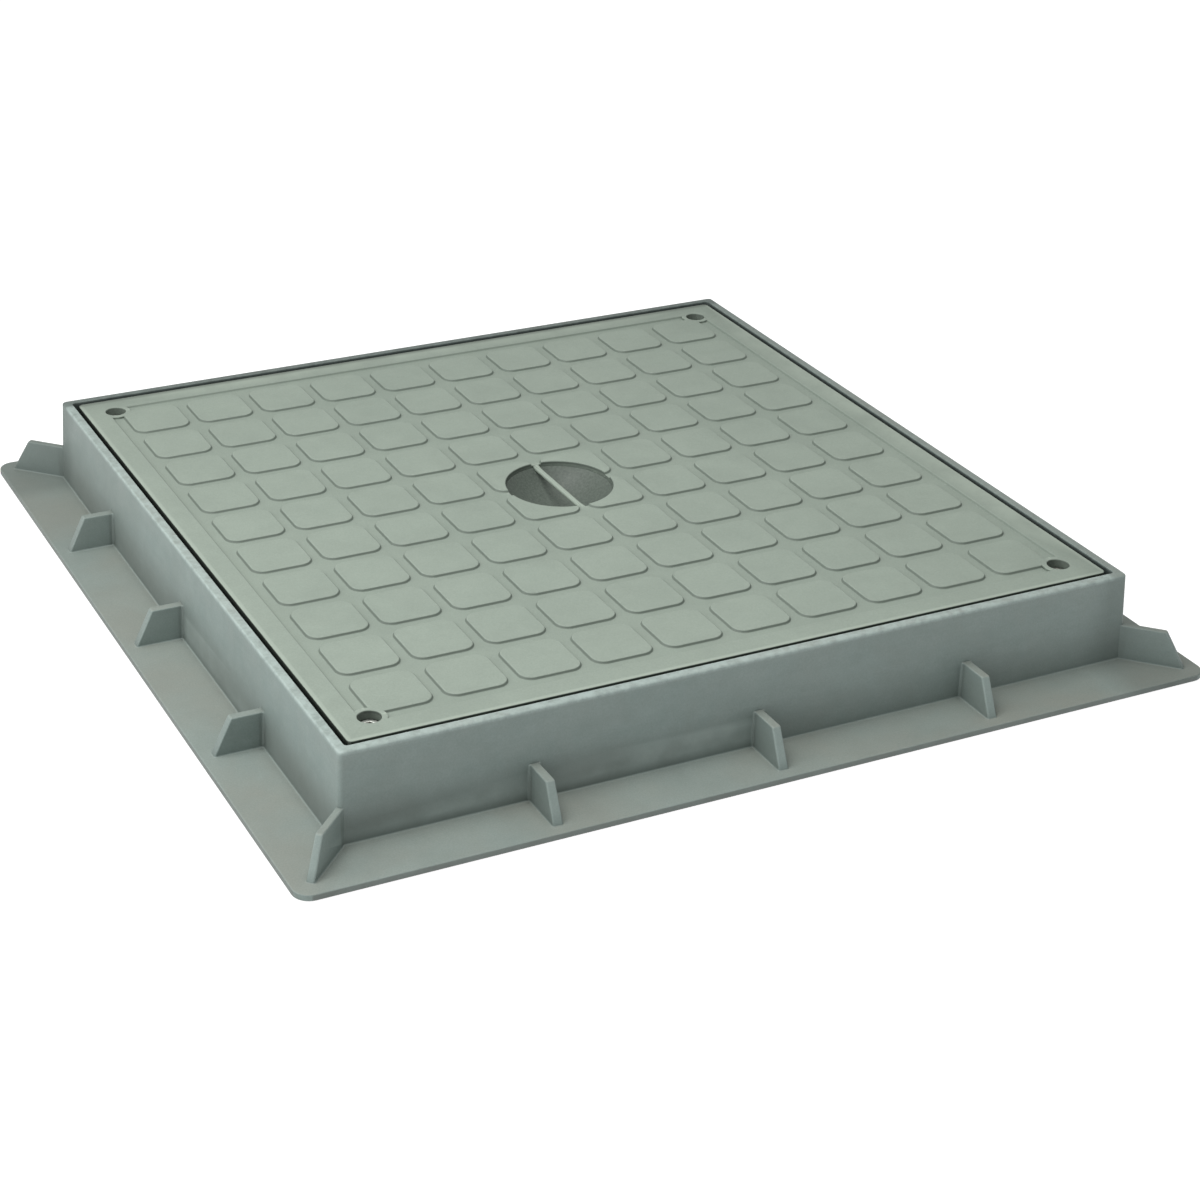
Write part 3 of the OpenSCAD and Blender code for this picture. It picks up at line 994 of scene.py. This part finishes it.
def gap_shade(p):
    """Painted shade in the gap between lid and frame, and along its back edge."""
    middle = (LID_HALF + INNER_HALF) / 2
    across = p.ramp(size_of(p.tree, math_node(p.tree, "SUBTRACT", p.outward, middle)), 1.7, 1.5)
    down = p.times(p.ramp(p.z, LID_TOP - 0.1, LID_TOP - 0.5), p.ramp(p.z, LID_TOP - 9, LID_TOP - 4))
    # Painted shade down the gap.
    p.cover(p.times(across, down, 0.80), scaled(p.deep, 0.18))
    back_edge_shade = p.times(p.ramp(p.y, LID_HALF - 4, LID_HALF - 1), p.ramp(p.y, RIM_HALF - 0.8, RIM_HALF - 1.6),
                        p.ramp(p.z, LID_TOP - 1, LID_TOP - 0.6), 0.55)
    # Painted shade along the back edge.
    p.cover(back_edge_shade, scaled(p.deep, 0.25))


def rim_highlight(p):
    """Painted highlight along the top of the rim in scrape-like patches, weaker on the back and right sides.
    """
    patchy = p.ramp(p.noise(220, 4, 0.7), 0.35, 0.6, 0.3, 1.0)
    dimmer_back_right = p.ramp(p.toward_back_right, LID_HALF - 2, LID_HALF, 1.0, 0.25)
    # Painted highlight along the rim top.
    p.cover(p.times(p.ramp(p.z, RIM_Z - 2.2, RIM_Z - 0.6), patchy, dimmer_back_right, 0.75), p.pale)


def finish_plastic(p):
    """Paints shade into crevices from ambient occlusion, then sets the sheen and a fine bump; returns the
    material.
    """
    occlusion_shade = p.tree.nodes.new("ShaderNodeAmbientOcclusion")
    occlusion_shade.samples = 8
    occlusion_shade.inputs["Distance"].default_value = 0.006
    crevice = p.ramp(occlusion_shade.outputs["AO"], 0.15, 0.42, 0.98, 0.0)
    # Painted shade: base colour darkened where ambient occlusion is low.
    p.cover(p.ramp(occlusion_shade.outputs["AO"], 0.30, 0.85, 0.28, 0.0), scaled(p.deep, 0.35))
    p.cover(crevice, scaled(p.deep, 0.06))
    p.tree.links.new(p.color, p.shader.inputs["Base Color"])

    p.tree.links.new(p.ramp(p.noise(45, 4, 0.6), 0.3, 0.7, 0.5, 0.66), p.shader.inputs["Roughness"])
    p.shader.inputs["IOR"].default_value = 1.49
    shine = math_node(p.tree, "SUBTRACT", 0.40, p.times(crevice, 0.40))
    p.tree.links.new(shine, p.shader.inputs["Specular IOR Level"])
    grain, waves = p.times(p.noise(1100, 3, 0.6), 0.35), p.times(p.noise(70, 2, 0.5), 0.65)
    bump(p.tree, p.shader, math_node(p.tree, "ADD", grain, waves), 0.35, 0.00035)
    return p.material


def frame_plastic(name):
    """Blue-grey plastic that has stood in soil, with painted shade at the wall's foot, in the gap and towards
    the back and right, and painted highlights on its edges and rim.
    """
    p = Plastic(name, tone=linear(119, 133, 129), dusty=linear(133, 145, 141), deep=linear(94, 108, 104),
                dust_and_shade=linear(136, 144, 137), shift=0.0)
    clouded(p, stained=0.48)
    for layer in (worn_and_highlit_edges, foot_soil_and_shade, back_right_shade, gap_shade, rim_highlight):
        layer(p)
    return finish_plastic(p)


def lid_plastic(name):
    """Greener plastic, walked on, with soil and painted shade in its hollows, painted shade on the pad edges
    and in the gap, and painted highlights on its edges.
    """
    p = Plastic(name, tone=linear(128, 140, 130), dusty=linear(140, 150, 139), deep=linear(108, 120, 110),
                dust_and_shade=linear(141, 152, 141), shift=5.0)
    clouded(p)
    for layer in (worn_and_highlit_edges, edge_and_bar_highlight, pad_edge_shade, hollow_soil_and_shade, back_right_shade, gap_shade):
        layer(p)
    return finish_plastic(p)


def rubber(name, tone, shift):
    """Black EPDM with a faint bloom."""
    material = bpy.data.materials.new(name)
    tree, shader = node_tree(material)
    coords = object_coords(tree, shift=shift)
    bloom = remap(tree, noise(tree, coords, 90, 4, 0.6), 0.4, 0.7, 0.0, 0.5)
    pale = tuple(c * 2.2 + 0.01 for c in tone)
    tree.links.new(mix_color(tree, bloom, tone, pale), shader.inputs["Base Color"])
    tree.links.new(remap(tree, noise(tree, coords, 200, 3), 0.3, 0.7, 0.6, 0.85), shader.inputs["Roughness"])
    bump(tree, shader, noise(tree, coords, 900, 3), 0.3, 0.0002)
    return material


def metal(name, tone, stain, base_rough, shift):
    """Plated metal with fine turning marks, stains and worn edges."""
    material = bpy.data.materials.new(name)
    tree, shader = node_tree(material)
    coords = object_coords(tree, shift=shift)
    lines = object_coords(tree, (1, 1, 12), shift)
    color = mix_color(tree, remap(tree, noise(tree, coords, 260, 5, 0.65), 0.45, 0.7, 0.0, 0.6), tone, stain)
    geometry = tree.nodes.new("ShaderNodeNewGeometry")
    worn = remap(tree, geometry.outputs["Pointiness"], 0.52, 0.6, 0.0, 0.6)
    tree.links.new(mix_color(tree, worn, color, scaled(tone, 1.5)), shader.inputs["Base Color"])
    shader.inputs["Metallic"].default_value = 1.0
    rough = remap(tree, noise(tree, coords, 180, 4), 0.3, 0.7, base_rough, base_rough + 0.22)
    tree.links.new(rough, shader.inputs["Roughness"])
    bump(tree, shader, noise(tree, lines, 600, 3), 0.2, 0.0001)
    return material


EARTH = linear(132, 131, 121)
MATERIALS = {
    "frame_plastic": frame_plastic("frame_plastic"),
    "lid_plastic": lid_plastic("lid_plastic"),
    "seal_rubber": rubber("seal_rubber", linear(22, 22, 23), 9.0),
    "washer_rubber": rubber("washer_rubber", linear(24, 24, 24), 13.0),
    "screw_steel": metal("screw_steel", linear(186, 190, 184), linear(140, 132, 120), 0.42, 17.0),
    "insert_brass": metal("insert_brass", linear(196, 162, 96), linear(130, 100, 60), 0.28, 21.0),
}


def dress(obj, body, slot, *nodes):
    """Gives a piece its material and body, and hides the CAD nodes it stands for."""
    obj.data.materials.clear()
    obj.data.materials.append(MATERIALS[slot])
    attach(obj, body)
    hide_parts(*nodes)


# ---------------------------------------------------------------- build
dress(build_frame(), "frame", "frame_plastic", "frame")
dress(build_lid(), "lid", "lid_plastic", "lid")
dress(build_seal(), "frame", "seal_rubber", "lid_seal")
for corner_name, (side_x, side_y) in CORNERS.items():
    at = (side_x * SCREW_AT, side_y * SCREW_AT)
    screw, washer, insert = (part + "_" + corner_name for part in ("screw", "washer", "insert"))
    dress(build_screw(screw + "_form", at), screw, "screw_steel", screw)
    dress(build_washer(washer + "_form", at), washer, "washer_rubber", washer)
    dress(build_insert(insert + "_form", at), "frame", "insert_brass", insert)


# ---------------------------------------------------------------- stage, light and camera
def build_stage():
    """Pale floor that runs out to a wide plain sweep."""
    bm = bmesh.new()
    side = 40.0
    bm.faces.new([bm.verts.new((x * side, y * side, -0.0004))
                  for x, y in ((-1, -1), (1, -1), (1, 1), (-1, 1))])
    mesh = bpy.data.meshes.new("floor")
    bm.to_mesh(mesh)
    bm.free()
    floor = bpy.data.objects.new("floor", mesh)
    bpy.context.scene.collection.objects.link(floor)
    material = bpy.data.materials.new("floor_paper")
    tree, shader = node_tree(material)
    shader.inputs["Base Color"].default_value = (0.36, 0.36, 0.36, 1)
    shader.inputs["Roughness"].default_value = 1.0
    shader.inputs["Specular IOR Level"].default_value = 0.0
    shader.inputs["Emission Color"].default_value = (1, 1, 1, 1)
    shader.inputs["Emission Strength"].default_value = 0.86
    floor.data.materials.append(material)


def area_light(name, azimuth, elevation, distance, size, power):
    """Soft square light that points at the object's middle; azimuth 0 is towards -Y."""
    data = bpy.data.lights.new(name, "AREA")
    data.shape = "SQUARE"
    data.size = size
    data.energy = power
    light = bpy.data.objects.new(name, data)
    a, e = math.radians(azimuth), math.radians(elevation)
    away = Vector((math.sin(a) * math.cos(e), -math.cos(a) * math.cos(e), math.sin(e)))
    light.location = away * distance
    light.rotation_mode = "QUATERNION"
    light.rotation_quaternion = (-away).to_track_quat("-Z", "Y")
    bpy.context.scene.collection.objects.link(light)


def build_light():
    """White sky that lights less than it shows, and two soft lights from the left."""
    world = bpy.data.worlds.new("studio")
    world.use_nodes = True
    tree = world.node_tree
    background = tree.nodes["Background"]
    background.inputs["Color"].default_value = (1.0, 1.0, 1.0, 1)
    seen = tree.nodes.new("ShaderNodeLightPath").outputs["Is Camera Ray"]
    tree.links.new(math_node(tree, "ADD", times(tree, seen, 0.6), 0.5), background.inputs["Strength"])
    bpy.context.scene.world = world
    area_light("top_light", -62, 69, 1.0, 0.6, 7.6)
    area_light("left_light", -95, 26, 1.6, 1.2, 10.4)
    bpy.context.scene.view_settings.view_transform = "Standard"
    bpy.context.scene.view_settings.look = "None"


def build_camera():
    """Camera at the viewing angle of a three-quarter catalogue view from above the front left corner."""
    data = bpy.data.cameras.new("camera")
    data.sensor_width = 36
    data.lens = 73.893
    data.shift_x = 0.0769
    data.shift_y = 0.0372
    data.clip_start = 0.05
    camera = bpy.data.objects.new("camera", data)
    camera.location = (-0.51358, -1.00850, 0.56982)
    azimuth, elevation, roll = math.radians(-25.7287), math.radians(28.5846), math.radians(0.8922)
    back = Vector((math.sin(azimuth) * math.cos(elevation), -math.cos(azimuth) * math.cos(elevation),
                   math.sin(elevation)))
    side = Vector((0, 0, 1)).cross(back).normalized()
    upright = back.cross(side)
    right = side * math.cos(roll) + upright * math.sin(roll)
    camera.rotation_mode = "QUATERNION"
    camera.rotation_quaternion = Matrix((right, back.cross(right), back)).transposed().to_quaternion()
    bpy.context.scene.collection.objects.link(camera)
    bpy.context.scene.camera = camera


build_stage()
build_light()
build_camera()
